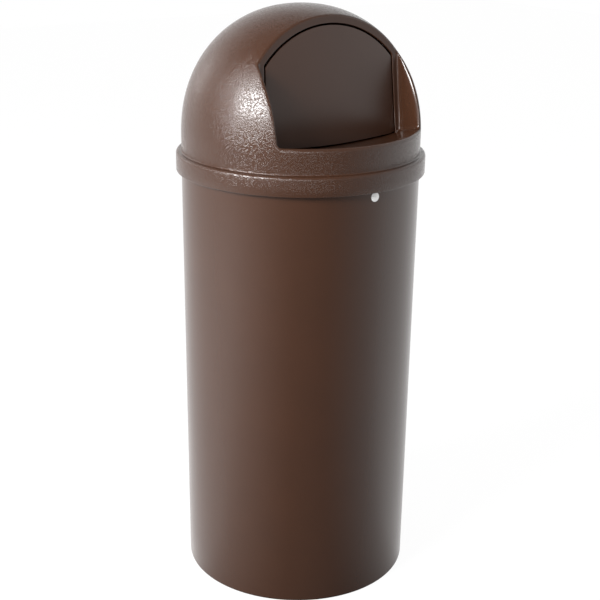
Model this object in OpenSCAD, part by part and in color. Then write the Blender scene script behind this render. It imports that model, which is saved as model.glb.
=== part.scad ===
// Round, dome-topped litter container with a self-closing push door.
// Millimetres. +Z is up, the door faces -Y, and the origin is the centre of the foot on the floor.

/* [Body] */
// Height of the body, from the floor to its rim
body_h = 700.4; // [500:0.1:900]
// How far the body draws in at its foot, from the hood's radius
foot_in = 3.8; // [2:0.1:20]
// How far the body's wall stands out past the hood's radius, at its rim
mouth_out = 0.2; // [0:0.1:1]
// Thickness of the body's wall
body_wall = 4; // [3:0.1:5]
// Thickness of the body's floor
floor_t = 5; // [3:0.1:10]
// How far the floor is raised above the foot ring
foot_rise = 8; // [4:0.1:20]
// Width of the foot ring
foot_ring_w = 16; // [12:0.1:30]
// Rounding of the foot's outer edge
foot_edge_r = 4; // [1:0.1:4]
// Height of the rim bead
bead_h = 10; // [6:0.1:16]
// Rounding of the rim bead
bead_edge_r = 1.5; // [0.5:0.1:2]
// Slope between the wall and the floor, on the inside
floor_edge = 6; // [2:0.1:12]

/* [Hood] */
// Outer radius of the hood above its band
hood_r = 186.6; // [170:0.1:205]
// Thickness of the hood's wall
hood_wall = 3.5; // [2.5:0.1:4]
// How far the band stands out past the hood's radius
band_out = 8.65; // [7.8:0.05:12]
// Height of the band, from its lower edge to its top
band_h = 30; // [20:0.1:45]
// Rounding of the band's top edge
band_edge_r = 5; // [2:0.1:5.5]
// Height of the straight wall between the band and the dome
collar_h = 25.3; // [15:0.1:40]
// Height of the dome
dome_h = 197.6; // [190:0.1:215]
// Exponent of the dome's outline, where 2 is a true ellipse
dome_power = 2.11; // [2.0:0.01:2.3]
// Rounding of the band's lower edge
skirt_edge_r = 1.5; // [0.5:0.1:1.7]
// Clearance between the hood's ledge and the top of the body's rim
rim_clear = 0.3; // [0.2:0.05:0.6]
// Clearance between the hood's skirt and the rim bead, all round
skirt_clear = 0.7; // [0.4:0.05:1.2]

/* [Door recess] */
// Distance of the frame's face from the hood's axis at the opening's corners, as a share of the hood's radius
frame_share = 0.3856; // [0.36:0.0001:0.42]
// How far the frame's face leans back, in degrees
frame_lean = 4.9; // [3.5:0.1:6]
// Width of the frame beside the opening's upper corners
strip_w = 10.7; // [9:0.1:13]
// Width of the frame above the opening
strip_top = 11.6; // [9:0.1:14]
// How far each cheek flares towards the sill, in degrees
cheek_flare = 0.8; // [0.2:0.1:2]
// How far the sides of the opening and of the door flare towards the sill, in degrees
side_flare = 2.1; // [1:0.1:2.5]
// Height of the sill's rim above the band's top
sill_rim_h = 40.8; // [37:0.1:44]
// Radius inside which the sill's dish gets shallow, as a share of the hood's radius
sill_bend_share = 0.75; // [0.7:0.01:0.8]
// Slope of the dish between that radius and the rim, in degrees
sill_rise = 20; // [17:0.5:22]
// Slope of the dish inside that radius, in degrees
sill_slope = 5; // [3:0.1:8]
// Depth of the stiffening lip below the sill's inner edge
sill_lip_h = 12; // [8:0.1:16]
// Height of the opening's upper corners, as a share of the dome's height
corner_share = 0.618; // [0.58:0.001:0.65]

/* [Door] */
// How far the closed door's face sits back from the frame's
door_set = 0.4; // [0.1:0.1:1]
// Thickness of the door's panel
door_t = 3; // [2.5:0.1:4]
// Gap between the door and the sides of its opening
side_gap = 2.6; // [2:0.1:3.2]
// Gap between the door and the arched top of its opening
arch_gap = 3; // [2.5:0.1:4]
// Gap between the door's foot and the sill
foot_gap = 2.2; // [1.8:0.1:4]
// Depth of the door's side flanges, from its face
flange_d = 21.5; // [19:0.1:25]
// How far the side flanges stop short of the door's foot and upper corners
flange_inset = 1; // [0.5:0.1:3]
// Thickness of the door's side flanges, rim and lugs
flange_t = 3; // [2.5:0.1:4]
// Radius of the door's inner lugs, round the rod
lug_r = 7; // [6.5:0.1:8]
// Depth of the stiffening rim round the arched top, from the door's face
rim_d = 6; // [5:0.1:7]
// Height of the stop lugs
stop_h = 26; // [15:0.1:40]
// Thickness of the stop lugs
stop_t = 4; // [3:0.1:5]
// Height of the stop lugs' lower edge above the door's foot
stop_up = 14; // [8:0.1:30]
// How far the stop lugs reach past the sides of the opening
stop_reach = 5; // [3:0.1:7]
// Clearance between the stop lugs and the back of the frame
stop_clear = 0.3; // [0.2:0.05:0.6]

/* [Hinge] */
// Radius of the hinge rod
rod_r = 3; // [2.5:0.1:4]
// Radial clearance of the rod in the door's flanges
rod_fit = 0.06; // [0.03:0.01:0.1]
// Radial clearance of the rod in the hood's bosses
boss_fit = 0.03; // [0.02:0.01:0.1]
// Distance of the rod's centre behind the door's face
hinge_back = 13; // [12:0.1:14]
// Distance of the rod's centre below the opening's corners, along the door
hinge_down = 10; // [8:0.1:16]
// Width of each hinge boss on the hood
boss_w = 8; // [6:0.1:9]
// Radius of the hinge bosses
boss_r = 8; // [7:0.1:9]
// Height of the web that joins each boss to the frame
boss_web_h = 13; // [11:0.1:13.5]
// Distance of the hinge bosses from the edge of the opening
boss_out = 3; // [2:0.1:4]
// Clearance of the rod's capped ends from the inside of the dome
dome_clear = 2.1; // [1.5:0.1:4]
// How far the rod stands out past each boss
rod_end = 3; // [2.6:0.1:4]
// Radius of the push-on caps at the rod's ends
cap_r = 6; // [5:0.1:7]
// Radial clearance of the rod in its caps
cap_fit = 0.02; // [0.01:0.01:0.05]
// Thickness of the caps
cap_t = 2; // [1.5:0.1:2.5]
// Clearance between a cap and its boss
cap_clear = 0.3; // [0.2:0.05:0.5]

/* [Door springs] */
// Thickness of the spring wire
wire_d = 2; // [1.6:0.1:2.2]
// Radius of the coil, to the middle of the wire
coil_r = 5.2; // [4.9:0.1:5.6]
// Number of turns in each coil
coil_turns = 4; // [3:1:5]
// Gap between one turn and the next
coil_gap = 0.7; // [0.5:0.05:1]
// Distance of the coil from the door's side flange
coil_in = 3; // [2:0.1:5]
// Length of the leg that lies on the door
door_leg = 30; // [20:0.5:45]
// Length of the leg that lies on the frame
frame_leg = 30; // [26:0.5:36]
// Clearance between a leg and what it lies on
leg_clear = 0.3; // [0.2:0.05:0.5]

/* [Tether button] */
// Clearance left where the head and the washer sit against the wall
seat_clear = 0.05; // [0.02:0.01:0.2]
// Height of the button's centre below the hood's lower edge
button_down = 8; // [7.5:0.1:15]
// Radius of the button's head
button_r = 7; // [6:0.1:8.5]
// How far the button's head stands out from the wall
button_out = 2.6; // [2:0.1:3.2]
// Thickness of the button's rim
button_rim = 1; // [0.6:0.1:1.4]
// Radius of the button's stem
stem_r = 3.5; // [3:0.1:4.5]
// Clearance of the stem in the body's wall
stem_clear = 0.3; // [0.2:0.05:0.5]
// Opening angle of the cord notch in the head, in degrees
notch_angle = 50; // [30:1:80]
// Direction of the cord notch, in degrees from the door's right-hand side
notch_turn = 148; // [100:1:170]
// Clearance of the washer on the stem
washer_fit = 0.05; // [0.02:0.01:0.1]
// Outer radius of the retaining washer inside the wall
washer_r = 9; // [7:0.1:12]
// Thickness of the retaining washer
washer_t = 2; // [1.5:0.1:3]
// How far the stem reaches past the washer
stem_end = 2; // [1:0.1:4]
// Outer radius of the tether eye inside the hood
eye_r = 6; // [5:0.1:8]
// Radius of the hole in the tether eye
eye_hole_r = 2.5; // [2:0.1:3]
// Thickness of the tether eye
eye_t = 4; // [3:0.1:6]

/* [Hidden] */

$fn = 128;
hole_fn = 48;
arc_steps = 6;
dome_steps = 20;
far = 400;
plastic = "#4a322b";
door_plastic = "#4c403c";
steel = "#a9a9a6";
nylon = "#ecece6";

// Heights and radii where the hood sits on the body
foot_r = hood_r - foot_in;
mouth_r = hood_r + mouth_out;
band_r = hood_r + band_out;
band_top = body_h + rim_clear + hood_wall;
skirt_z = band_top - band_h;
skirt_in_r = band_r - hood_wall;
bead_r = skirt_in_r - skirt_clear;
dome_z = band_top + collar_h;

// Radius of the dome's inner wall at height z, and height of its outer wall at radius r
function dome_in_r(z) = (hood_r - hood_wall)
    * pow(1 - pow(max(z - dome_z, 0) / (dome_h - hood_wall), dome_power), 1 / dome_power);
function dome_top(r) = dome_z + dome_h * pow(1 - pow(r / hood_r, dome_power), 1 / dome_power);

// Where the opening's corners, the door and the hinge lie
frame_y = hood_r * frame_share;
corner_z = dome_z + dome_h * corner_share;
frame_top_y = frame_y - (dome_top(frame_y) - corner_z) * tan(frame_lean);
arch_h = (dome_top(frame_top_y) - corner_z) / cos(frame_lean) - strip_top;
hinge_in = hinge_back + door_set;
hinge_y = -frame_y + hinge_in * cos(frame_lean) - hinge_down * sin(frame_lean);
hinge_z = corner_z - hinge_in * sin(frame_lean) - hinge_down * cos(frame_lean);
rod_half = sqrt(pow(dome_in_r(hinge_z + cap_r), 2) - pow(cap_r - hinge_y, 2)) - dome_clear;
boss_x = rod_half - rod_end - boss_w;
cap_x = rod_half - rod_end + cap_clear;
opening_half_w = boss_x - boss_out;
recess_half_w = opening_half_w + strip_w;
door_half_w = opening_half_w - side_gap;
flange_x = door_half_w - flange_t;

// Radius of the arch, from its half width and its rise
function arch_radius(half_w, rise) = (half_w * half_w + rise * rise) / (2 * rise);

// Outer radius of the body's wall at height z
function wall_r(z) = foot_r + (mouth_r - foot_r) * z / body_h;

// Points of a quarter round from angle a to angle b about (x, y)
function round_edge(x, y, r, a, b) =
    [for (i = [0 : arc_steps]) let (t = a + (b - a) * i / arc_steps) [x + r * cos(t), y + r * sin(t)]];

// Points of the dome's outline from its foot to its top, for half axes r and h
function dome_outline(r, h) =
    [for (i = [1 : dome_steps]) let (t = 90 * i / dome_steps)
        i == dome_steps ? [0, dome_z + h]
            : [r * pow(cos(t), 2 / dome_power), dome_z + h * pow(sin(t), 2 / dome_power)]];

// The sill's dish: where its slope changes, its centre, and the height of the corners above it at the frame
sill_bend_r = hood_r * sill_bend_share;
sill_bend_z = band_top + sill_rim_h - (hood_r - sill_bend_r) * tan(sill_rise);
sill_centre_z = sill_bend_z - sill_bend_r * tan(sill_slope);
corner_drop = corner_z - sill_centre_z - frame_y * tan(sill_slope);
corner_h = corner_drop / (cos(frame_lean) * (1 + tan(sill_slope) * tan(frame_lean)));

// The door's corners and the level of the sill's inner edge, up the door from the rod
door_corner = hinge_down - arch_gap;
door_low = hinge_down - corner_h;

// The coil, its legs and the lug beside it
coil_pitch = wire_d + coil_gap;
coil_len = coil_turns * coil_pitch;
coil_x = flange_x - coil_in - wire_d / 2;
lug_x = coil_x - coil_len - wire_d / 2 - coil_in - flange_t;
frame_gap = hinge_in - hood_wall;
frame_leg_turn = asin((frame_gap - wire_d / 2 - leg_clear - coil_r) / frame_leg);
door_leg_turn = asin((hinge_back - door_t - wire_d / 2 - leg_clear - coil_r) / door_leg);
frame_leg_a = 180 - frame_lean - frame_leg_turn;
door_leg_a = 180 - frame_lean + door_leg_turn + 360 * coil_turns;
coil_steps = ceil((door_leg_a - frame_leg_a) / 45);
wire_sides = 6;

// Tether button
button_z = skirt_z - button_down;
wall_in_r = wall_r(button_z) - body_wall;
washer_y = -sqrt(wall_in_r * wall_in_r - washer_r * washer_r) + seat_clear;
head_y = -wall_r(button_z) - seat_clear;
eye_y = -hood_r + hood_wall / 2 + eye_r;
eye_z = band_top + 2 * eye_r;

// Point on the coil at angle a
function coil_point(a) =
    [coil_x - coil_len * (a - frame_leg_a) / (door_leg_a - frame_leg_a), coil_r * cos(a), coil_r * sin(a)];

// Direction along the coil at angle a, without its pitch
function coil_way(a) = [0, -sin(a), cos(a)];

// The spring's route: up the frame, round the coil and down the door
spring_route = concat(
    [for (f = [1, 0.55, 0.12]) coil_point(frame_leg_a) - f * frame_leg * coil_way(frame_leg_a)],
    [for (i = [0 : coil_steps]) coil_point(frame_leg_a + (door_leg_a - frame_leg_a) * i / coil_steps)],
    [for (f = [0.12, 0.55, 1]) coil_point(door_leg_a) + f * door_leg * coil_way(door_leg_a)]);

// Least gap between stretches of wire that are half a turn or more apart
function least_gap(route) = min([for (i = [0 : len(route) - 1]) for (j = [i + 4 : 1 : len(route) - 1])
    norm(route[i] - route[j])]) - wire_d;
echo(least_gap_in_spring = least_gap(spring_route));
echo(hinge = [hinge_y, hinge_z], half_width_of_opening = opening_half_w, rise_of_arch = arch_h);
echo(depth_of_opening = corner_h, sill_centre = sill_centre_z, sill_bend = [sill_bend_r, sill_bend_z]);

function unit(v) = v / norm(v);
function way_at(route, i) = unit(route[min(i + 1, len(route) - 1)] - route[max(i - 1, 0)]);

// Ring of wire round point i of a route
function wire_ring(route, i) =
    let (t = way_at(route, i), n = unit([1, 0, 0] - t[0] * t), b = cross(t, n))
    [for (k = [0 : wire_sides - 1]) let (a = 360 * k / wire_sides)
        route[i] + wire_d / 2 * (cos(a) * n + sin(a) * b)];

// One unbroken tube of wire along a route
module wire(route) {
    n = wire_sides;
    rings = len(route);
    last = (rings - 1) * n;
    points = [for (i = [0 : rings - 1]) each wire_ring(route, i)];
    walls = [for (i = [0 : rings - 2]) for (k = [0 : n - 1])
        let (a = i * n + k, b = i * n + (k + 1) % n)
        each [[a, a + n, b + n], [a, b + n, b]]];
    start_cap = [for (k = [1 : n - 2]) [0, k, k + 1]];
    end_cap = [for (k = [1 : n - 2]) [last, last + k + 1, last + k]];
    polyhedron(points, concat(walls, start_cap, end_cap));
}

// Places its children in the frame's own axes: X across, Y into the can, Z up the frame, from its corners
module on_frame() {
    translate([0, -frame_y, corner_z])
        rotate([-frame_lean, 0, 0])
            children();
}

// The recess in front of the frame, grown by g
module recess(g) {
    wide = recess_half_w + g / cos(cheek_flare);
    deep = far / 2;
    flare = deep * tan(cheek_flare);
    intersection() {
        on_frame()
            translate([0, g, 0])
                rotate([90, 0, 0])
                    linear_extrude(deep)
                        polygon([[wide - flare, deep], [wide + flare, -deep],
                                 [-wide - flare, -deep], [-wide + flare, deep]]);
        above_sill(g);
    }
}

// Everything above the sill's dish, lowered by g
module above_sill(g) {
    inner_k = tan(sill_slope);
    outer_k = tan(sill_rise);
    centre = sill_centre_z - g / cos(sill_slope);
    bend = sill_bend_r + g * (1 / cos(sill_rise) - 1 / cos(sill_slope)) / (outer_k - inner_k);
    bend_z = centre + bend * inner_k;
    rotate_extrude()
        polygon([[0, centre], [bend, bend_z], [far, bend_z + (far - bend) * outer_k],
                 [far, dome_z + far], [0, dome_z + far]]);
}

// Arched outline with its upper corners at height 0, its sides flaring down to its foot at depth drop
module arch(half_w, rise, drop) {
    r = arch_radius(half_w, rise);
    foot_half_w = half_w + drop * tan(side_flare);
    intersection() {
        translate([0, rise - r])
            circle(r, $fn = 256);
        polygon([[half_w, 0], [foot_half_w, -drop], [-foot_half_w, -drop],
                 [-half_w, 0], [-half_w, rise], [half_w, rise]]);
    }
}

// Outside of the hood as a solid
module hood_outside() {
    rotate_extrude()
        polygon(concat(
            [[0, skirt_z]],
            round_edge(band_r - skirt_edge_r, skirt_z + skirt_edge_r, skirt_edge_r, -90, 0),
            round_edge(band_r - band_edge_r, band_top - band_edge_r, band_edge_r, 0, 90),
            [[hood_r, band_top], [hood_r, dome_z]],
            dome_outline(hood_r, dome_h)));
}

// Inside of the hood as a solid
module hood_inside() {
    inner_r = hood_r - hood_wall;
    rotate_extrude()
        polygon(concat(
            [[0, skirt_z - 1], [skirt_in_r, skirt_z - 1], [skirt_in_r, band_top - hood_wall],
             [inner_r, band_top - hood_wall], [inner_r, dome_z]],
            dome_outline(inner_r, dome_h - hood_wall)));
}

// Boss on the back of the frame that holds one end of the hinge rod
module hinge_boss(side) {
    x = side > 0 ? boss_x : -boss_x - boss_w;
    front = frame_gap + hood_wall / 2;
    translate([x, hinge_y, hinge_z])
        rotate([-frame_lean, 0, 0])
            rotate([90, 0, 90])
                linear_extrude(boss_w) {
                    circle(boss_r, $fn = hole_fn);
                    translate([-front, -boss_web_h / 2])
                        square([front, boss_web_h]);
                }
}

// Eye inside the hood's front wall for a tether
module tether_eye() {
    translate([-eye_t / 2, eye_y, eye_z])
        rotate([0, 90, 0])
            cylinder(h = eye_t, r = eye_r, $fn = hole_fn);
    translate([-eye_t / 2, eye_y - eye_r, eye_z - eye_r])
        cube([eye_t, eye_r, 2 * eye_r]);
}

module body_shell() {
    inner_foot = foot_r - foot_ring_w;
    floor_z = foot_rise + floor_t;
    color(plastic)
        difference() {
            rotate_extrude()
                polygon(concat(
                    [[0, foot_rise], [inner_foot - foot_rise / 2, foot_rise], [inner_foot, 0]],
                    round_edge(foot_r - foot_edge_r, foot_edge_r, foot_edge_r, -90, 0),
                    [[wall_r(body_h - bead_h), body_h - bead_h],
                     [bead_r - bead_edge_r, body_h - bead_h]],
                    round_edge(bead_r - bead_edge_r, body_h - bead_h + bead_edge_r, bead_edge_r, -90, 0),
                    round_edge(bead_r - bead_edge_r, body_h - bead_edge_r, bead_edge_r, 0, 90),
                    [[mouth_r - body_wall, body_h],
                     [wall_r(floor_z) - body_wall, floor_z + floor_edge],
                     [wall_r(floor_z) - body_wall - floor_edge, floor_z], [0, floor_z]]));
            translate([0, 0, button_z])
                rotate([90, 0, 0])
                    cylinder(h = far, r = stem_r + stem_clear, $fn = hole_fn);
        }
}

module hood_shell() {
    color(plastic)
        difference() {
            union() {
                difference() {
                    hood_outside();
                    hood_inside();
                }
                intersection() {
                    hood_outside();
                    union() {
                        recess(hood_wall);
                        sill_lip();
                    }
                }
                intersection() {
                    hood_outside();
                    union() {
                        hinge_boss(1);
                        hinge_boss(-1);
                    }
                }
                tether_eye();
            }
            recess(0);
            door_opening();
            translate([-rod_half, hinge_y, hinge_z])
                rotate([0, 90, 0])
                    cylinder(h = 2 * rod_half, r = rod_r + boss_fit, $fn = hole_fn);
            translate([-eye_t, eye_y, eye_z])
                rotate([0, 90, 0])
                    cylinder(h = 2 * eye_t, r = eye_hole_r, $fn = hole_fn);
        }
}

// Lip that stiffens the sill's inner edge
module sill_lip() {
    on_frame()
        translate([-recess_half_w, 0, -corner_h - hood_wall - sill_lip_h])
            cube([2 * recess_half_w, hood_wall, hood_wall + 2 * sill_lip_h]);
}

// Hole through the frame that the door closes
module door_opening() {
    intersection() {
        on_frame()
            rotate([90, 0, 0])
                translate([0, 0, -3 * hood_wall])
                    linear_extrude(4 * hood_wall)
                        arch(opening_half_w, arch_h, corner_h + hood_wall);
        above_sill(0);
    }
}

// Places its children in the door's own axes: X across, Y into the can, Z up the door, from the rod
module on_door() {
    translate([0, hinge_y, hinge_z])
        rotate([-frame_lean, 0, 0])
            children();
}

// The door's outline drawn in by d, as a plate from depth a to depth b behind the door's face
module door_plate(a, b, d) {
    translate([0, b - hinge_back, 0])
        rotate([90, 0, 0])
            linear_extrude(b - a)
                translate([0, door_corner])
                    arch(door_half_w - d, arch_h - d, door_corner - door_low - d);
}

// Flange or lug that carries the rod, at x, from z_low to z_high behind the door and r round the rod
module rod_plate(x, z_low, z_high, r) {
    front = hinge_back - door_t / 2;
    translate([x, 0, 0]) {
        translate([0, -front, z_low])
            cube([flange_t, front + r, -z_low]);
        translate([0, -front, z_low])
            cube([flange_t, front, z_high - z_low]);
        rotate([0, 90, 0])
            cylinder(h = flange_t, r = r, $fn = hole_fn);
    }
}

// Lug on a side flange that rests on the back of the frame when the door is shut
module stop_lug(side) {
    low = foot_gap + stop_up - corner_h;
    reach = opening_half_w - low * tan(side_flare) + stop_reach;
    x = side > 0 ? flange_x : -reach;
    on_frame()
        translate([x, hood_wall + stop_clear, low])
            cube([reach - flange_x, stop_t, stop_h]);
}

// Stiffening rim along the door's arched top, between the lugs
module door_rim() {
    intersection() {
        difference() {
            door_plate(door_t / 2, rim_d, 0);
            door_plate(0, 2 * rim_d, flange_t);
        }
        translate([-lug_x - flange_t, -far, door_corner])
            cube([2 * (lug_x + flange_t), 2 * far, far]);
    }
}

module push_door() {
    color(door_plastic)
        difference() {
            union() {
                intersection() {
                    on_door()
                        door_plate(0, door_t, 0);
                    above_sill(-foot_gap);
                }
                intersection() {
                    on_door()
                        for (side = [-1, 1])
                            rod_plate(side > 0 ? flange_x : -door_half_w, door_low,
                                door_corner - flange_inset, flange_d - hinge_back);
                    above_sill(-foot_gap - flange_inset);
                }
                on_door() {
                    door_rim();
                    for (side = [-1, 1])
                        rod_plate(side > 0 ? lug_x : -lug_x - flange_t, -2 * lug_r, lug_r, lug_r);
                }
                stop_lug(1);
                stop_lug(-1);
            }
            on_door()
                translate([-door_half_w - 1, 0, 0])
                    rotate([0, 90, 0])
                        cylinder(h = 2 * door_half_w + 2, r = rod_r + rod_fit, $fn = hole_fn);
        }
}

module hinge_rod() {
    color(steel)
        translate([-rod_half, hinge_y, hinge_z])
            rotate([0, 90, 0])
                cylinder(h = 2 * rod_half, r = rod_r, $fn = hole_fn);
}

// Half section of a ring with its outer edge broken on one side
module ring_outline(in_r, out_r, t) {
    polygon([[in_r, 0], [out_r, 0], [out_r, t / 2], [out_r - t / 2, t], [in_r, t]]);
}

// Push-on cap that keeps the rod from sliding out
module rod_cap(side) {
    color(steel)
        translate([side * cap_x, hinge_y, hinge_z])
            rotate([0, 90 * side, 0])
                rotate_extrude($fn = hole_fn)
                    ring_outline(rod_r + cap_fit, cap_r, cap_t);
}

module left_rod_cap() {
    rod_cap(-1);
}

module right_rod_cap() {
    rod_cap(1);
}

module door_spring(side) {
    color(steel)
        translate([0, hinge_y, hinge_z])
            mirror([side < 0 ? 1 : 0, 0, 0])
                wire(spring_route);
}

module left_door_spring() {
    door_spring(-1);
}

module right_door_spring() {
    door_spring(1);
}

module tether_button() {
    dome = button_out - button_rim;
    r = (button_r * button_r + dome * dome) / (2 * dome);
    tip = washer_y - head_y + washer_t + stem_end;
    color(nylon)
        translate([0, head_y, button_z])
            rotate([90, 0, 0])
                difference() {
                    union() {
                        rotate_extrude($fn = hole_fn)
                            polygon(concat(
                                [[0, 0], [button_r, 0], [button_r, button_rim]],
                                [for (i = [1 : arc_steps]) let (x = button_r * (1 - i / arc_steps))
                                    [x, button_out - r + sqrt(r * r - x * x)]]));
                        translate([0, 0, -tip])
                            cylinder(h = tip + button_rim / 2, r = stem_r, $fn = hole_fn);
                    }
                    rotate(notch_turn)
                        translate([stem_r / 2, 0, button_rim / 2])
                            linear_extrude(button_out)
                                polygon([[0, 0],
                                    [button_r, button_r * tan(notch_angle / 2)],
                                    [button_r, -button_r * tan(notch_angle / 2)]]);
                }
}

module tether_washer() {
    color(steel)
        translate([0, washer_y, button_z])
            rotate([-90, 0, 0])
                rotate_extrude($fn = hole_fn)
                    ring_outline(stem_r + washer_fit, washer_r, washer_t);
}

body_shell();
hood_shell();
push_door();
hinge_rod();
left_rod_cap();
right_rod_cap();
left_door_spring();
right_door_spring();
tether_button();
tether_washer();
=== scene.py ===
"""Looks for the dome-topped litter container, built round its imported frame.

Metres, except where a docstring or a heading says millimetres. The door faces -Y.
"""

import math
from collections import namedtuple

import bpy
import numpy as np
from mathutils import Matrix, Vector


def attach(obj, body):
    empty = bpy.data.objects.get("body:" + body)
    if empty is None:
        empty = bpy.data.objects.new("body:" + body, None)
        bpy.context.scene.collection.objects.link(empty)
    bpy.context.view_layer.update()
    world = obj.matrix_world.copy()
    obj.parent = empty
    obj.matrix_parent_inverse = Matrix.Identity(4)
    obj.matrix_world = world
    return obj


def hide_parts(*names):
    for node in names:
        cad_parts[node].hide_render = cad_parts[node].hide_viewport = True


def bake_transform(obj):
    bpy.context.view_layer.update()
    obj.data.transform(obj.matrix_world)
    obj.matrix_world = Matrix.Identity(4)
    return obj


MM = 0.001

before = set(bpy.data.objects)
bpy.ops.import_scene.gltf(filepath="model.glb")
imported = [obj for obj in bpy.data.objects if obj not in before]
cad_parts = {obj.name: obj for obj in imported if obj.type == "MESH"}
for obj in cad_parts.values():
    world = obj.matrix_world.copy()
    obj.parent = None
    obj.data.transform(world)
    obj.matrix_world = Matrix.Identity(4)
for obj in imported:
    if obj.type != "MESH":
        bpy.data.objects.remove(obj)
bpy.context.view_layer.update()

# Sizes of the moulded parts, in millimetres, as in the part's source. Only BAND_R is a little
# less, so that the round band stays within the flats of the solid one.
HOOD_R = 186.6
HOOD_WALL = 3.5
BAND_R = 195.18
BAND_TOP = 704.2
SKIRT_Z = 674.2
DOME_Z = 729.5
DOME_H = 197.6
DOME_POWER = 2.11
FRAME_Y = 71.953
FRAME_LEAN = math.radians(4.9)
CHEEK_FLARE = math.radians(0.8)
SIDE_FLARE = math.radians(2.1)
SILL_SLOPE = math.radians(5.0)
SILL_RISE = math.radians(20.0)
SILL_CENTRE_Z = 715.777
SILL_BEND_R = 139.95
SILL_BEND_Z = 728.021
SILL_LIP_H = 12.0
CORNER_Z = 851.617
CORNER_H = 129.052
OPENING_HALF = 118.83
STRIP_W = 10.7
RECESS_HALF = OPENING_HALF + STRIP_W
ARCH_H = 53.13
HINGE_Y = -59.456
HINGE_Z = 840.509
HINGE_BACK = 13.0
HINGE_IN = 13.4
ROD_R = 3.0
BOSS_X = OPENING_HALF + 3
BOSS_W = 8.0
BOSS_R = 8.0
BOSS_WEB_H = 13.0
DOOR_T = 3.0
SIDE_GAP = 2.6
FLANGE_T = 3.0
WIRE_R = 1.0
COIL_R = 5.2
COIL_TURNS = 4
COIL_PITCH = 2.7
COIL_IN = 3.0
LEG = 30.0
LEG_CLEAR = 0.3
EYE_R = 6.0
EYE_HOLE_R = 2.5
EYE_T = 4.0
BODY_H = 700.4
BODY_FOOT_R = 182.8
BODY_TAPER = 4.0
FOOT_OUTER_ROUND = 4.0
BEAD_R = 191.05
BEAD_LOW = 690.4
BEAD_FOOT_R = 186.74
BEAD_ROUND = 1.5
RIM_IN_R = 183.2
RIM_ROUND = 1.0

# Points of the body as (radius, height): under the floor to the foot ring, and down the wall's
# inside to the floor
UNDERSIDE = ((0, 8), (162, 8), (163.5, 7.6), (166, 1), (167, 0))
INSIDE = ((183.1, 690), (179.0, 24), (178.0, 18.5), (175.2, 14.2), (171, 13), (0, 13))

# Roundings that only this model has, in millimetres
FRAME_ROUND = 3.5
FOOT_ROUND = 4.0
LIP_ROUND = 7.0
CHEEK_LIP_ROUND = 11.5
ARCH_LIP_ROUND = 2.7
LIP_REACH = 7.5
SILL_BLEND = 3.0
SKIRT_EDGE = ((-1.0, 0), (-0.3, 0.3), (0, 1.0), (0, 12))
SKIRT_CUT = 0.3
BAND_ROUND = 5.0
BAND_FILLET = 1.8
OPENING_ROUND = 1.0
EDGE_CUT = 0.5
PART_EDGE = 0.6

# The camera, fitted to the photograph: angles in radians, lens and sensor in millimetres
CAMERA_BACK = 1.9208
CAMERA_UP = 1.1224
CAMERA_HEADING = 0.627
CAMERA_PITCH = 0.3357
CAMERA_YAW = 0.0011
CAMERA_ROLL = 0.0138
CAMERA_LENS = 74.61
CAMERA_SENSOR = 36

# The studio's brightness: from the camera's side at 0 to straight behind the object at 1,
# and by height above level
STUDIO_BACK = (0.45, 0.893, 0.0)
AROUND_STOPS = ((0.015, 0.18), (0.12, 0.43), (0.25, 0.7), (0.375, 1.0), (0.5, 1.1))
HEIGHT_STOPS = ((0.45, 1.0), (0.6, 0.65), (0.75, 0.38), (0.9, 0.3))
STUDIO_LIGHT = 0.9
WHITE = (1, 1, 1, 1)
LAMP_TARGET = (0, 0, 0.8)

FLOOR_SIZE = 14
FLOOR_MATT = 0.8
FLOOR_WHITE = 1.06
FLOOR_WHITE_SHARE = 0.9
FLOOR_GLOW = 1.05
FLOOR_GLOW_SHARE = 0.75

# Tones of each plastic, its own and a second one that it is mottled with
BROWN = ((0.047, 0.0188, 0.0095), (0.041, 0.0164, 0.0083))
OFF_WHITE = ((0.96, 0.96, 0.95), (0.93, 0.93, 0.92))
METAL_SHADE = 0.8
METAL_DRIFT = 0.12
METAL_SPECKLE = 0.5

# The hood's outside is pebbled. Its inside and the recess, deeper than this in millimetres from
# the dome, are fine-grained.
PEBBLE_DEPTH = 2.5

# Textures: the roughness's drift, the colour's speckle, pebbles and grain as (height, scale), and
# the relief's depth in millimetres
PEBBLED = {
    "drift": 0.03,
    "speckle": 0.5,
    "pebbles": (1.0, 640.0),
    "grain": (0.4, 760.0),
    "depth": 0.245,
}
FINE = {
    "drift": 0.04,
    "speckle": 0.6,
    "pebbles": (0.12, 900.0),
    "grain": (0.3, 1500.0),
    "depth": 0.03,
}
SMOOTH = {
    "drift": 0.05,
    "speckle": 0.2,
    "pebbles": (0.0, 400.0),
    "grain": (0.1, 1500.0),
    "depth": 0.02,
}


# Node trees


def new_group(name, inputs, outputs):
    """An empty node group with its sockets, its input node and its output node."""
    group = bpy.data.node_groups.new(name, "ShaderNodeTree")
    for label, kind, value in inputs:
        socket = group.interface.new_socket(label, in_out="INPUT", socket_type=kind)
        if value is not None:
            socket.default_value = value
    for label, kind in outputs:
        group.interface.new_socket(label, in_out="OUTPUT", socket_type=kind)
    return group, group.nodes.new("NodeGroupInput"), group.nodes.new("NodeGroupOutput")


def add_node(nodes, kind, values=None, operation=None):
    """A new node, with its inputs set by name or by number."""
    node = nodes.new(kind)
    if operation:
        node.operation = operation
    for key, value in (values or {}).items():
        node.inputs[key].default_value = value
    return node


def add_group(nodes, group, values=None):
    node = nodes.new("ShaderNodeGroup")
    node.node_tree = group
    for label, value in (values or {}).items():
        node.inputs[label].default_value = value
    return node


def grey_ramp(nodes, stops):
    ramp = nodes.new("ShaderNodeValToRGB")
    elements = ramp.color_ramp.elements
    while len(elements) < len(stops):
        elements.new(0.5)
    for element, (place, grey) in zip(elements, stops):
        element.position = place
        element.color = (grey, grey, grey, 1)
    return ramp


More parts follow.
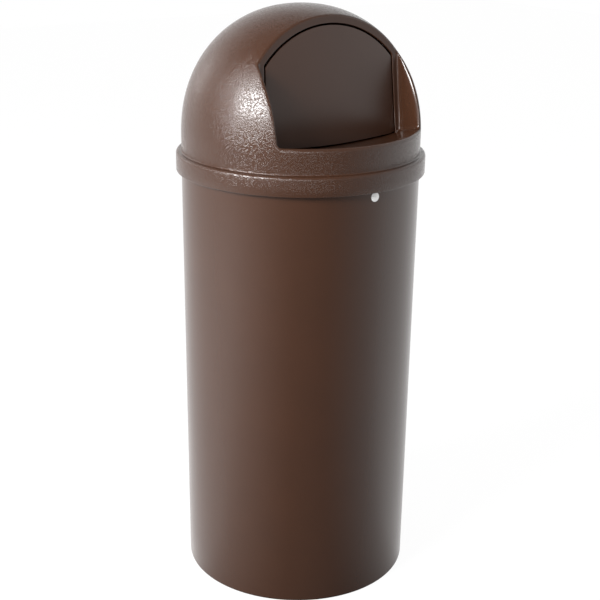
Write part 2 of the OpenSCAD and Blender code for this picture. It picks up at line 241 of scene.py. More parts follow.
def mixed(tree, share, first, second):
    """Two shaders mixed by a number or by another node's output."""
    mix = tree.nodes.new("ShaderNodeMixShader")
    if isinstance(share, float):
        mix.inputs["Fac"].default_value = share
    else:
        tree.links.new(share, mix.inputs["Fac"])
    tree.links.new(first.outputs[0], mix.inputs[1])
    tree.links.new(second.outputs[0], mix.inputs[2])
    return mix


# Camera and studio


def add_camera():
    """The camera at the photograph's place, turned by heading, pitch, yaw and roll."""
    across = Vector((math.cos(CAMERA_HEADING), -math.sin(CAMERA_HEADING), 0))
    along = Vector((math.sin(CAMERA_HEADING), math.cos(CAMERA_HEADING), 0))
    up = Vector((0, 0, 1))
    level = math.sin(CAMERA_YAW) * across + math.cos(CAMERA_YAW) * along
    right = math.cos(CAMERA_YAW) * across - math.sin(CAMERA_YAW) * along
    forward = math.cos(CAMERA_PITCH) * level - math.sin(CAMERA_PITCH) * up
    above = math.sin(CAMERA_PITCH) * level + math.cos(CAMERA_PITCH) * up
    image_right = math.cos(CAMERA_ROLL) * right + math.sin(CAMERA_ROLL) * above
    image_up = -math.sin(CAMERA_ROLL) * right + math.cos(CAMERA_ROLL) * above
    data = bpy.data.cameras.new("camera")
    data.lens = CAMERA_LENS
    data.sensor_width = CAMERA_SENSOR
    camera = bpy.data.objects.new("camera", data)
    bpy.context.scene.collection.objects.link(camera)
    turn = Matrix((image_right, image_up, -forward)).transposed().to_4x4()
    camera.matrix_world = Matrix.Translation(-CAMERA_BACK * along + CAMERA_UP * up) @ turn
    bpy.context.scene.camera = camera


def add_soft_box(name, place, width, height, power):
    """An area lamp aimed at the object's upper part."""
    data = bpy.data.lights.new(name, "AREA")
    data.shape = "RECTANGLE"
    data.size = width
    data.size_y = height
    data.energy = power
    lamp = bpy.data.objects.new(name, data)
    lamp.location = place
    lamp.rotation_euler = (Vector(LAMP_TARGET) - Vector(place)).to_track_quat("-Z", "Y").to_euler()
    bpy.context.scene.collection.objects.link(lamp)


def studio_group():
    """The studio's light by direction: dim toward the camera and overhead, bright behind."""
    group, given, out = new_group(
        "studio_falloff",
        [("Direction", "NodeSocketVector", None)],
        [("Color", "NodeSocketColor")],
    )
    nodes, links = group.nodes, group.links
    way = add_node(nodes, "ShaderNodeVectorMath", operation="NORMALIZE")
    links.new(given.outputs["Direction"], way.inputs[0])
    behind = add_node(nodes, "ShaderNodeVectorMath", {1: STUDIO_BACK}, "DOT_PRODUCT")
    links.new(way.outputs["Vector"], behind.inputs[0])
    share = add_node(nodes, "ShaderNodeMath", {1: 0.5, 2: 0.5}, "MULTIPLY_ADD")
    links.new(behind.outputs["Value"], share.inputs[0])
    around = grey_ramp(nodes, AROUND_STOPS)
    links.new(share.outputs[0], around.inputs["Fac"])
    parts = nodes.new("ShaderNodeSeparateXYZ")
    links.new(way.outputs["Vector"], parts.inputs[0])
    overhead = grey_ramp(nodes, HEIGHT_STOPS)
    links.new(parts.outputs["Z"], overhead.inputs["Fac"])
    both = add_node(nodes, "ShaderNodeVectorMath", operation="MULTIPLY")
    links.new(around.outputs["Color"], both.inputs[0])
    links.new(overhead.outputs["Color"], both.inputs[1])
    links.new(both.outputs[0], out.inputs["Color"])
    return group


def add_world(falloff):
    """White for the camera; for gloss and soft light, the studio's falloff."""
    world = bpy.data.worlds.new("studio")
    world.use_nodes = True
    bpy.context.scene.world = world
    tree = world.node_tree
    nodes, links = tree.nodes, tree.links
    nodes.clear()
    out = nodes.new("ShaderNodeOutputWorld")
    paths = nodes.new("ShaderNodeLightPath")
    coord = nodes.new("ShaderNodeTexCoord")
    shade = add_group(nodes, falloff)
    links.new(coord.outputs["Generated"], shade.inputs["Direction"])
    studio = add_node(nodes, "ShaderNodeBackground", {"Strength": STUDIO_LIGHT})
    links.new(shade.outputs["Color"], studio.inputs["Color"])
    white = add_node(nodes, "ShaderNodeBackground", {"Color": WHITE})
    seen = mixed(tree, paths.outputs["Is Camera Ray"], studio, white)
    links.new(seen.outputs[0], out.inputs["Surface"])


def add_floor(falloff):
    """A pale floor: white to the camera save for the object's shadow, and lit as the studio is."""
    bpy.ops.mesh.primitive_plane_add(size=FLOOR_SIZE, location=(0, 0, 0))
    floor = bpy.context.object
    floor.name = "floor"
    paper = bpy.data.materials.new("floor_paper")
    paper.use_nodes = True
    tree = paper.node_tree
    nodes, links = tree.nodes, tree.links
    nodes.clear()
    out = nodes.new("ShaderNodeOutputMaterial")
    paths = nodes.new("ShaderNodeLightPath")
    place = nodes.new("ShaderNodeNewGeometry")
    shade = add_group(nodes, falloff)
    links.new(place.outputs["Position"], shade.inputs["Direction"])
    sheet = nodes.new("ShaderNodeBsdfDiffuse")
    links.new(shade.outputs["Color"], sheet.inputs["Color"])
    glow = add_node(nodes, "ShaderNodeEmission", {"Strength": FLOOR_GLOW})
    links.new(shade.outputs["Color"], glow.inputs["Color"])
    around = mixed(tree, FLOOR_GLOW_SHARE, sheet, glow)
    matt = add_node(nodes, "ShaderNodeBsdfDiffuse", {"Color": (*[FLOOR_MATT] * 3, 1)})
    white = add_node(nodes, "ShaderNodeEmission", {"Color": WHITE, "Strength": FLOOR_WHITE})
    shadowed = mixed(tree, FLOOR_WHITE_SHARE, matt, white)
    seen = mixed(tree, paths.outputs["Is Camera Ray"], around, shadowed)
    links.new(seen.outputs[0], out.inputs["Surface"])
    floor.data.materials.append(paper)


# Finishes


def grain_group():
    """The texture of a mould's wall: raised pebbles over a finer grain, as a height."""
    group, given, out = new_group(
        "mould_grain",
        [
            ("Pebble Scale", "NodeSocketFloat", 400.0),
            ("Pebble Height", "NodeSocketFloat", 1.0),
            ("Grain Scale", "NodeSocketFloat", 1500.0),
            ("Grain Height", "NodeSocketFloat", 0.3),
        ],
        [("Height", "NodeSocketFloat")],
    )
    nodes, links = group.nodes, group.links
    coord = nodes.new("ShaderNodeTexCoord")
    wander = add_node(nodes, "ShaderNodeTexNoise", {"Scale": 190.0, "Detail": 1.0})
    push = add_node(nodes, "ShaderNodeVectorMath", {1: (MM, MM, MM)}, "MULTIPLY_ADD")
    links.new(coord.outputs["Object"], wander.inputs["Vector"])
    links.new(wander.outputs["Color"], push.inputs[0])
    links.new(coord.outputs["Object"], push.inputs[2])
    pebbles = nodes.new("ShaderNodeTexVoronoi")
    links.new(push.outputs[0], pebbles.inputs["Vector"])
    links.new(given.outputs["Pebble Scale"], pebbles.inputs["Scale"])
    crown = add_node(
        nodes,
        "ShaderNodeMapRange",
        {"From Min": 0.0, "From Max": 0.7, "To Min": 1.0, "To Max": 0.0},
    )
    crown.interpolation_type = "SMOOTHSTEP"
    links.new(pebbles.outputs["Distance"], crown.inputs["Value"])
    high = add_node(nodes, "ShaderNodeMath", operation="MULTIPLY")
    links.new(crown.outputs[0], high.inputs[0])
    links.new(given.outputs["Pebble Height"], high.inputs[1])
    fine = add_node(nodes, "ShaderNodeTexNoise", {"Detail": 2.0})
    links.new(coord.outputs["Object"], fine.inputs["Vector"])
    links.new(given.outputs["Grain Scale"], fine.inputs["Scale"])
    both = add_node(nodes, "ShaderNodeMath", operation="MULTIPLY_ADD")
    links.new(fine.outputs["Fac"], both.inputs[0])
    links.new(given.outputs["Grain Height"], both.inputs[1])
    links.new(high.outputs[0], both.inputs[2])
    links.new(both.outputs[0], out.inputs["Height"])
    return group


def colour_group():
    """A surface's unevenness: colour mottled between two tones, and a roughness that drifts."""
    group, given, out = new_group(
        "uneven_plastic",
        [
            ("Tone", "NodeSocketColor", (0.06, 0.03, 0.02, 1)),
            ("Second Tone", "NodeSocketColor", (0.05, 0.025, 0.018, 1)),
            ("Speckle", "NodeSocketFloat", 0.3),
            ("Roughness", "NodeSocketFloat", 0.4),
            ("Roughness Drift", "NodeSocketFloat", 0.08),
        ],
        [("Color", "NodeSocketColor"), ("Roughness", "NodeSocketFloat")],
    )
    nodes, links = group.nodes, group.links
    coord = nodes.new("ShaderNodeTexCoord")
    broad = add_node(nodes, "ShaderNodeTexNoise", {"Scale": 14.0, "Detail": 3.0})
    speckle = add_node(nodes, "ShaderNodeTexNoise", {"Scale": 900.0, "Detail": 1.0})
    for texture in (broad, speckle):
        links.new(coord.outputs["Object"], texture.inputs["Vector"])
    share = nodes.new("ShaderNodeMix")
    share.data_type = "FLOAT"
    links.new(given.outputs["Speckle"], share.inputs["Factor"])
    links.new(broad.outputs["Fac"], share.inputs["A"])
    links.new(speckle.outputs["Fac"], share.inputs["B"])
    sharp = add_node(nodes, "ShaderNodeMapRange", {"From Min": 0.35, "From Max": 0.65})
    links.new(share.outputs["Result"], sharp.inputs["Value"])
    tones = nodes.new("ShaderNodeMix")
    tones.data_type = "RGBA"
    links.new(sharp.outputs["Result"], tones.inputs["Factor"])
    links.new(given.outputs["Tone"], tones.inputs["A"])
    links.new(given.outputs["Second Tone"], tones.inputs["B"])
    drift = add_node(nodes, "ShaderNodeMath", operation="MULTIPLY_ADD")
    links.new(sharp.outputs["Result"], drift.inputs[0])
    links.new(given.outputs["Roughness Drift"], drift.inputs[1])
    links.new(given.outputs["Roughness"], drift.inputs[2])
    links.new(tones.outputs["Result"], out.inputs["Color"])
    links.new(drift.outputs[0], out.inputs["Roughness"])
    return group


GRAIN = grain_group()
UNEVEN = colour_group()


def uneven_material(name, tones, rough, drift, speckle):
    """A new material of uneven colour and roughness, with its nodes, links and shader."""
    material = bpy.data.materials.new(name)
    material.use_nodes = True
    nodes, links = material.node_tree.nodes, material.node_tree.links
    shader = nodes["Principled BSDF"]
    values = {"Speckle": speckle, "Roughness": rough, "Roughness Drift": drift}
    values |= {"Tone": (*tones[0], 1), "Second Tone": (*tones[1], 1)}
    look = add_group(nodes, UNEVEN, values)
    links.new(look.outputs["Color"], shader.inputs["Base Color"])
    links.new(look.outputs["Roughness"], shader.inputs["Roughness"])
    return material, nodes, links, shader


def plastic(name, tones, rough, specular, drift, speckle, pebbles, grain, depth):
    material, nodes, links, shader = uneven_material(name, tones, rough, drift, speckle)
    shader.inputs["Specular IOR Level"].default_value = specular
    values = {"Pebble Height": pebbles[0], "Pebble Scale": pebbles[1]}
    values |= {"Grain Height": grain[0], "Grain Scale": grain[1]}
    relief = add_group(nodes, GRAIN, values)
    bump = add_node(nodes, "ShaderNodeBump", {"Strength": 1.0, "Distance": depth * MM})
    links.new(relief.outputs["Height"], bump.inputs["Height"])
    links.new(bump.outputs["Normal"], shader.inputs["Normal"])
    return material


def metal(name, tone, rough):
    tones = (tone, [METAL_SHADE * part for part in tone])
    material, _, _, shader = uneven_material(name, tones, rough, METAL_DRIFT, METAL_SPECKLE)
    shader.inputs["Metallic"].default_value = 1.0
    return material


# Small tools for modelling. Sizes in millimetres.

MERGE = 0.01
FLAT_JOIN = math.radians(0.6)
SHARP = math.radians(30)

# Angles in degrees below which faces shade as one
HOOD_SMOOTH = 50
BODY_SMOOTH = 30
COPY_SMOOTH = 35
PART_SMOOTH = 40


def deselect():
    if bpy.context.object and bpy.context.object.mode != "OBJECT":
        bpy.ops.object.mode_set(mode="OBJECT")
    bpy.ops.object.select_all(action="DESELECT")


def make_active(obj):
    deselect()
    obj.select_set(True)
    bpy.context.view_layer.objects.active = obj


def smooth(obj, degrees):
    make_active(obj)
    bpy.ops.object.shade_smooth_by_angle(angle=math.radians(degrees))


def round_edges(obj, width):
    rounding = obj.modifiers.new("rounding", "BEVEL")
    rounding.width = width * MM
    rounding.segments = 3
    rounding.limit_method = "ANGLE"
    rounding.angle_limit = SHARP
    make_active(obj)
    bpy.ops.object.modifier_apply(modifier=rounding.name)


def turned(name, outline, steps):
    """A piece turned about the Z axis from an outline of (radius, height) points."""
    deselect()
    first = outline[0]
    bpy.ops.mesh.primitive_plane_add(size=0.01, location=(0, 0, 0))
    obj = bpy.context.object
    obj.name = name
    bpy.ops.object.mode_set(mode="EDIT")
    bpy.ops.mesh.select_all(action="SELECT")
    bpy.ops.mesh.merge(type="CENTER")
    bpy.ops.transform.translate(value=(first[0] * MM, 0, first[1] * MM))
    for last, point in zip(outline, outline[1:]):
        step = ((point[0] - last[0]) * MM, 0, (point[1] - last[1]) * MM)
        bpy.ops.mesh.extrude_region_move(TRANSFORM_OT_translate={"value": step})
    bpy.ops.mesh.select_all(action="SELECT")
    bpy.ops.mesh.remove_doubles(threshold=MERGE * MM)
    bpy.ops.mesh.spin(steps=steps, angle=2 * math.pi, center=(0, 0, 0), axis=(0, 0, 1))
    bpy.ops.mesh.select_all(action="SELECT")
    bpy.ops.mesh.remove_doubles(threshold=MERGE * MM)
    bpy.ops.mesh.normals_make_consistent(inside=False)
    bpy.ops.object.mode_set(mode="OBJECT")
    return obj


def arc(x, z, r, start, end, count):
    """Points of a round about (x, z), from one angle to another in degrees."""
    angles = [math.radians(start + (end - start) * i / count) for i in range(count + 1)]
    return [(x + r * math.cos(t), z + r * math.sin(t)) for t in angles]


def copied(node, name, rounding):
    """A copy of a CAD node with its loose triangles merged, flat faces joined and edges rounded."""
    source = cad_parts[node]
    obj = source.copy()
    obj.data = source.data.copy()
    obj.name = name
    obj.parent = None
    bpy.context.scene.collection.objects.link(obj)
    make_active(obj)
    bpy.ops.object.mode_set(mode="EDIT")
    bpy.ops.mesh.select_all(action="SELECT")
    bpy.ops.mesh.remove_doubles(threshold=MERGE * MM)
    bpy.ops.mesh.dissolve_limited(angle_limit=FLAT_JOIN)
    bpy.ops.object.mode_set(mode="OBJECT")
    round_edges(obj, rounding)
    smooth(obj, COPY_SMOOTH)
    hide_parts(node)
    return obj


def dress(obj, material, body):
    obj.data.materials.clear()
    obj.data.materials.append(material)
    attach(obj, body)


# The hood's surface, in millimetres. It has no operator: the rounded lip runs where flat and
# dished cuts meet the dome. p is an array of points, one a row.

RUN_ON = 60
CHEEK_START, CHEEK_RUN = CORNER_Z - 110, 30
ARCH_START, ARCH_RUN = CORNER_Z - 42, 50
PROBE = 0.02
SEEK_STEPS = 10
SEEK_MOVE = 3
LEAST_SLOPE = 0.05
PROFILE_STEPS = 4000


def dome_depth(p):
    """How deep points lie inside the outside of the hood, above its band."""
    r = np.hypot(p[:, 0], p[:, 1])
    h = np.maximum(p[:, 2] - DOME_Z, 0)
    level = np.maximum((r / HOOD_R) ** DOME_POWER + (h / DOME_H) ** DOME_POWER, 1e-6)
    away = np.hypot(r, h)
    return np.where(h > 0, away * (level ** (-1 / DOME_POWER) - 1), HOOD_R - r)


def frame_axes(p):
    """Depth behind the frame's face and height up it, from the opening's corners."""
    y, z = p[:, 1] + FRAME_Y, p[:, 2] - CORNER_Z
    c, s = math.cos(FRAME_LEAN), math.sin(FRAME_LEAN)
    return y * c - z * s, y * s + z * c


def from_frame(x, depth, up):
    """The point at a depth behind the frame's face and a height up it."""
    c, s = math.cos(FRAME_LEAN), math.sin(FRAME_LEAN)
    return np.array([x, depth * c + up * s - FRAME_Y, up * c - depth * s + CORNER_Z])


def frame_way(x, depth, up):
    """The direction that the frame's own axes give."""
    return from_frame(x, depth, up) - from_frame(0, 0, 0)


def softer(a, b, r):
    """The lesser of two depths, with a round of radius r where both are small."""
    return np.maximum(r, np.minimum(a, b)) - np.hypot(np.maximum(r - a, 0), np.maximum(r - b, 0))


def eased(height, start, run):
    """From 0 below start to 1 once a run above it."""
    t = np.clip((height - start) / run, 0, 1)
    return t * t * (3 - 2 * t)


def sill_depth(p):
    """How far points lie above the sill's dish, whose slope changes softly."""
    r = np.hypot(p[:, 0], p[:, 1])
    inner = (p[:, 2] - SILL_CENTRE_Z) * math.cos(SILL_SLOPE) - r * math.sin(SILL_SLOPE)
    outer = (p[:, 2] - SILL_BEND_Z) * math.cos(SILL_RISE) - (r - SILL_BEND_R) * math.sin(SILL_RISE)
    blend = np.maximum(1 - np.abs(inner - outer) / SILL_BLEND, 0)
    return np.minimum(inner, outer) - SILL_BLEND * blend**2 / 4


def recess_depth(p, framed):
    """How deep points lie inside the recess, whose inner corners are rounded.

    framed is 1 where the frame closes the recess and 0 where the sill runs on under the door.
    """
    back, up = frame_axes(p)
    cheek = (RECESS_HALF - up * math.tan(CHEEK_FLARE) - np.abs(p[:, 0])) * math.cos(CHEEK_FLARE)
    dish = softer(cheek, sill_depth(p), FOOT_ROUND)
    return softer(dish, -back + RUN_ON * (1 - framed), FRAME_ROUND)


def lip_round(p):
    """How far the recess's outer lip rounds: more up the cheeks than at the sill, least on top."""
    cheek = LIP_ROUND + (CHEEK_LIP_ROUND - LIP_ROUND) * eased(p[:, 2], CHEEK_START, CHEEK_RUN)
    return cheek + (ARCH_LIP_ROUND - cheek) * eased(p[:, 2], ARCH_START, ARCH_RUN)


def material_depth(p, framed):
    """How deep points lie in the hood's material, seen from outside."""
    r = lip_round(p)
    a = np.maximum(r - dome_depth(p), 0)
    b = np.maximum(r + recess_depth(p, framed) * (r / np.minimum(r, LIP_REACH)), 0)
    return r - np.sqrt(a * a + b * b)


def slope(p, framed):
    """How material_depth grows along each axis."""
    steps = np.eye(3) * PROBE
    sides = [material_depth(p + s, framed) - material_depth(p - s, framed) for s in steps]
    return np.stack(sides, axis=1) / (2 * PROBE)


def onto_surface(p, framed):
    for _ in range(SEEK_STEPS):
        g = slope(p, framed)
        size = np.maximum((g * g).sum(1), LEAST_SLOPE)
        move = np.clip(material_depth(p, framed) / size, -SEEK_MOVE, SEEK_MOVE)
        p = p - move[:, None] * g
    return p


def dome_profile():
    """The dome's outline down to the band: arc length from the top, radius and height."""
    t = np.linspace(0, math.pi / 2, PROFILE_STEPS)
    r = np.append(HOOD_R * np.sin(t) ** (2 / DOME_POWER), HOOD_R)
    z = np.append(DOME_Z + DOME_H * np.cos(t) ** (2 / DOME_POWER), BAND_TOP + BAND_FILLET)
    s = np.append(0, np.cumsum(np.hypot(np.diff(r), np.diff(z))))
    return s, r, z


PROFILE_S, PROFILE_R, PROFILE_Z = dome_profile()


def flat_of(point):
    """A point of the dome on a flat disc: as far out as its arc length from the top."""
    s = np.interp(-point[2], -PROFILE_Z, PROFILE_S)
    return point[:2] * (s / math.hypot(point[0], point[1]))


def on_dome(flat):
    """Points of the flat disc back on the dome."""
    s = np.hypot(flat[:, 0], flat[:, 1])
    r = np.interp(s, PROFILE_S, PROFILE_R)
    z = np.interp(s, PROFILE_S, PROFILE_Z)
    return np.column_stack([flat * (r / np.maximum(s, 1e-9))[:, None], z])


# Lines of the recess, in millimetres

SILL_FAN = 0.0006
CHEEK_FAN = 0.16
FAR_OFF = 260.0
HALVINGS = 50
FOOT_STEPS = 12
SILL_RIM = HOOD_R - 0.4
ARCH_MIDDLE = np.array([0.0, -40.0])


def meet_dome(start, way):
    """Where a line from inside the recess leaves the dome."""
    low, high = 0.0, FAR_OFF
    for _ in range(HALVINGS):
        mid = (low + high) / 2
        if dome_depth((start + way * mid)[None])[0] > 0:
            low = mid
        else:
            high = mid
    return start + way * low


def sill_z(r):
    """Height of the sill at radius r."""
    inner = SILL_CENTRE_Z + r * math.tan(SILL_SLOPE)
    outer = SILL_BEND_Z + (r - SILL_BEND_R) * math.tan(SILL_RISE)
    return max(inner, outer)


def sill_foot(x):
    """How far down the frame's face the sill meets it."""
    up = -CORNER_H
    for _ in range(FOOT_STEPS):
        y = -FRAME_Y + up * math.sin(FRAME_LEAN)
        up = (sill_z(math.hypot(x, y)) - CORNER_Z) / math.cos(FRAME_LEAN)
    return up


def sill_edge(foot, fan):
    """Where the sill leaves the dome, out from a point of its inner edge and fanned a little."""
    way = np.array([fan, -1.0]) / math.hypot(fan, 1)
    along = foot[:2] @ way
    reach = -along + math.sqrt(along**2 - foot[:2] @ foot[:2] + SILL_RIM**2)
    return np.append(foot[:2] + way * reach, sill_z(SILL_RIM))


def opening_side(up):
    """Half the opening's width, up its flared sides."""
    return OPENING_HALF - up * math.tan(SIDE_FLARE)


def cheek_side(up):
    """Half the recess's width, up its flared cheeks."""
    return RECESS_HALF - up * math.tan(CHEEK_FLARE)


ARCH_R = (OPENING_HALF**2 + ARCH_H**2) / (2 * ARCH_H)


def arch_point(share):
    """A point of the opening's arch, from its right end at 0 to its left end at 1."""
    t = math.asin(OPENING_HALF / ARCH_R) * (1 - 2 * share)
    return ARCH_R * math.sin(t), ARCH_R * math.cos(t) - ARCH_R + ARCH_H


def frame_edge(share):
    """Where the frame's face leaves the dome, from the right top corner over to the left one."""
    x, up = arch_point(share)
    way = np.array([x, up]) - ARCH_MIDDLE
    way /= np.linalg.norm(way)
    return meet_dome(from_frame(x, 0, up), frame_way(way[0], 0, way[1]))


# The hood's mesh. Each ray runs from the recess's edge on the dome, by way of the frame's foot,
# to the opening's edge. out is the way out of the opening there, along the frame's face, and
# framed says how far the frame closes the recess.

Ray = namedtuple("Ray", "edge foot opening out framed")
SILL_RAYS = 84
STRIP_RAYS = 8
CHEEK_RAYS = 46
ARCH_RAYS = 64
OUTER_RINGS = 46
INNER_RINGS = 40
RAY_SAMPLES = 600
NO_CORNER = -99
NEAR_LIP = 30

# How densely a ray's points lie: everywhere, near its start and near its corner
PLAIN = 0.15
START, START_RUN = 1.2, 8.0
BEND, BEND_RUN = 0.6, 5.0


def sill_ray(x, opening, out, framed):
    foot = from_frame(x, 0, sill_foot(x))
    return Ray(sill_edge(foot, SILL_FAN * x), foot, opening, out, framed)


def cheek_ray(t, low, high, opening_low):
    """A ray of the right cheek, from its foot at 0 to its top at 1."""
    up = low + (high - low) * t
    foot = from_frame(cheek_side(up), 0, up)
    way = frame_way(0, -1, CHEEK_FAN * (1 - t) ** 3)
    opening_up = opening_low * (1 - t)
    opening = from_frame(opening_side(opening_up), 0, opening_up)
    return Ray(meet_dome(foot, way / np.linalg.norm(way)), foot, opening, (1, 0), 1.0)


def arch_ray(share):
    x, up = arch_point(share)
    edge = frame_edge(share)
    out = np.array([x, up - ARCH_H + ARCH_R]) / ARCH_R
    return Ray(edge, edge, from_frame(x, 0, up), tuple(out), 1.0)


def recess_rays():
    """The rays all the way round, from the sill's middle over the right side first."""
    opening_foot = opening_side(sill_foot(OPENING_HALF))
    cheek_foot = cheek_side(sill_foot(RECESS_HALF))
    rays = []
    for i in range(SILL_RAYS):
        x = opening_foot * i / SILL_RAYS
        rays.append(sill_ray(x, from_frame(x, 0, sill_foot(x)), (0, 0), 0.0))
    for i in range(STRIP_RAYS):
        t = i / STRIP_RAYS
        up = sill_foot(opening_foot) + STRIP_W * t
        x = opening_foot + (cheek_foot - opening_foot) * t
        opening = from_frame(opening_side(up), 0, up)
        rays.append(sill_ray(x, opening, (min(1, 2 * t), 0), min(1.0, 3 * t)))
    low, high = sill_foot(cheek_foot), frame_axes(frame_edge(0.0)[None])[1][0]
    opening_low = sill_foot(opening_foot) + STRIP_W
    rays += [cheek_ray(i / CHEEK_RAYS, low, high, opening_low) for i in range(CHEEK_RAYS)]
    rays += [arch_ray(0.5 * i / ARCH_RAYS) for i in range(ARCH_RAYS + 1)]
    flip = np.array([-1, 1, 1])
    mirrored = [
        Ray(edge * flip, foot * flip, opening * flip, (-out[0], out[1]), framed)
        for edge, foot, opening, out, framed in reversed(rays[1:-1])
    ]
    return rays + mirrored


def spread(length, corner, count):
    """Distances along a ray, close together near its start and near a corner on its way."""
    l = np.linspace(0, length, RAY_SAMPLES)
    start, bend = np.exp(-((l / START_RUN) ** 2)), np.exp(-(((l - corner) / BEND_RUN) ** 2))
    weight = PLAIN + START * start + BEND * bend
    total = np.append(0, np.cumsum((weight[1:] + weight[:-1]) / 2))
    return np.interp(np.arange(1, count + 1) / count, total / total[-1], l)


def level_ring(angle, r, z):
    return np.column_stack([r * np.cos(angle), r * np.sin(angle), np.full(len(angle), z)])


def band_outline():
    """The band from its lower edge up to the foot of the dome."""
    outline = [(BAND_R + r, SKIRT_Z + z) for r, z in SKIRT_EDGE]
    outline += arc(BAND_R - BAND_ROUND, BAND_TOP - BAND_ROUND, BAND_ROUND, 0, 90, 8)
    fillet = arc(HOOD_R + BAND_FILLET, BAND_TOP + BAND_FILLET, BAND_FILLET, 270, 180, 4)
    return outline + fillet[:-1]


def outer_rings(rays, framed):
    """Rings of points up the band and over the dome to the recess's edge."""
    edge = np.array([flat_of(ray.edge) for ray in rays])
    way = edge - edge.mean(0)
    way /= np.linalg.norm(way, axis=1)[:, None]
    along = (edge * way).sum(1)
    reach = -along + np.sqrt(along**2 - (edge**2).sum(1) + PROFILE_S[-1] ** 2)
    angle = np.arctan2(*(edge + way * reach[:, None]).T[::-1])
    rings = [level_ring(angle, r, z) for r, z in band_outline()]
    shares = np.array([spread(n, NO_CORNER, OUTER_RINGS) / n for n in reach]).T
    for share in (*shares[::-1], np.zeros(len(rays))):
        points = on_dome(edge + way * (reach * share)[:, None])
        near = share * reach < NEAR_LIP
        points[near] = onto_surface(points[near], framed[near])
        rings.append(points)
    return rings


def inside_points(ray):
    """Points along a ray inside the recess, to just short of the opening's rounded edge."""
    first, across = np.linalg.norm(ray.foot - ray.edge), np.linalg.norm(ray.opening - ray.foot)
    second = max(across - OPENING_ROUND, 0.0) if across > 0.5 else across
    side = (ray.opening - ray.foot) / max(across, 1e-9)
    points = []
    for d in spread(max(first + second, 0.1), first, INNER_RINGS):
        if d <= first or second < 0.01:
            point = ray.edge + (ray.foot - ray.edge) * min(d / max(first, 1e-9), 1)
            sill = sill_z(math.hypot(point[0], point[1]))
            point[2] = max(point[2], sill) if ray.framed > 0.99 else sill
        else:
            point = ray.foot + side * (d - first)
        points.append(point)
    return points


def opening_rings(rays):
    """Rings over the opening's edge and, along the sill, down its lip and up the lip's back."""
    openings = np.array([ray.opening for ray in rays])
    outs = np.array([frame_way(ray.out[0], 0, ray.out[1]) for ray in rays])
    back, down = frame_way(0, 1, 0), frame_way(0, 0, -1)
    side = np.hypot(outs[:, 0], outs[:, 2])[:, None]
    sill = 1 - side
    over = HOOD_WALL - 0.1
    low = (frame_axes(openings)[1] + CORNER_H + HOOD_WALL + SILL_LIP_H)[:, None] * sill
    places = []  # how far out, back and down from the opening's edge
    for t in (math.radians(30), math.radians(60), math.radians(90)):
        s, c = math.sin(t), math.cos(t)
        behind = OPENING_ROUND * (1 - c) * side + over * s * sill
        places.append((OPENING_ROUND * (1 - s), behind, over * (1 - c) * sill))
    places += [
        (0, HOOD_WALL - EDGE_CUT * side, np.minimum(low, over + 0.4 * sill)),
        (0.3, HOOD_WALL, low - EDGE_CUT * sill),
        (0.5, HOOD_WALL - EDGE_CUT * sill, low),
        (0.7, HOOD_WALL * side + EDGE_CUT * sill, low),
        (0.9, HOOD_WALL * side, low - EDGE_CUT * sill),
    ]
    return [openings + outs * o + back * b + down * d for o, b, d in places]


def wall_rings(rings, framed):
    """Rings inside the hood: a wall's thickness in from the outer ones, and down the skirt."""
    inner = []
    for p in rings[-2 : len(band_outline()) - 1 : -2]:
        g = slope(p, framed)
        inner.append(p + g / np.linalg.norm(g, axis=1)[:, None] * HOOD_WALL)
    angle = np.arctan2(rings[0][:, 1], rings[0][:, 0])
    dome, skirt, ledge = HOOD_R - HOOD_WALL, BAND_R - HOOD_WALL, BAND_TOP - HOOD_WALL
    turns = [(dome, ledge + EDGE_CUT), (dome + EDGE_CUT, ledge), (skirt, ledge)]
    turns.append((skirt, SKIRT_Z + SKIRT_CUT))
    return inner + [level_ring(angle, r, z) for r, z in turns]


def ringed(name, rings):
    """A closed piece over rings of points, the last ring joined to the first."""
    n, count = len(rings[0]), len(rings)
    faces = []
    for j in range(count):
        k = (j + 1) % count
        for i in range(n):
            m = (i + 1) % n
            faces.append((j * n + i, j * n + m, k * n + m, k * n + i))
    mesh = bpy.data.meshes.new(name)
    mesh.from_pydata((np.vstack(rings) * MM).tolist(), [], faces)
    obj = bpy.data.objects.new(name, mesh)
    bpy.context.scene.collection.objects.link(obj)
    make_active(obj)
    bpy.ops.object.mode_set(mode="EDIT")
    bpy.ops.mesh.select_all(action="SELECT")
    bpy.ops.mesh.normals_make_consistent(inside=False)
    bpy.ops.object.mode_set(mode="OBJECT")
    smooth(obj, HOOD_SMOOTH)
    return obj


def hood_shell():
    rays = recess_rays()
    framed = np.array([ray.framed for ray in rays])
    rings = outer_rings(rays, framed)
    inside = np.array([inside_points(ray) for ray in rays])
    rings += [onto_surface(points, framed) for points in inside.transpose(1, 0, 2)]
    return ringed("hood", rings + opening_rings(rays) + wall_rings(rings, framed))


# The other pieces, in millimetres

QUARTER = math.pi / 2
BODY_STEPS = 192
BOSS_STEPS = 64
EYE_STEPS = 48
COIL_STEPS = 32
WALL_HEIGHTS = (60, 200, 350, 500, 640, 688)
ROD_ROOM = 0.03
WEB_IN = 1.0
WEB_CLEAR = 1.5
ROOT_IN = 1.0
DOOR_EDGE = 0.8
BUTTON_EDGE = 0.25


def ring(name, in_r, out_r, length, steps):
    """A thick ring about the Z axis from 0 to length, with its outer edges rounded."""
    x = out_r - PART_EDGE
    low = arc(x, PART_EDGE, PART_EDGE, -90, 0, 4)
    high = arc(x, length - PART_EDGE, PART_EDGE, 0, 90, 4)
    return turned(name, [(in_r, 0), *low, *high, (in_r, length), (in_r, 0)], steps)


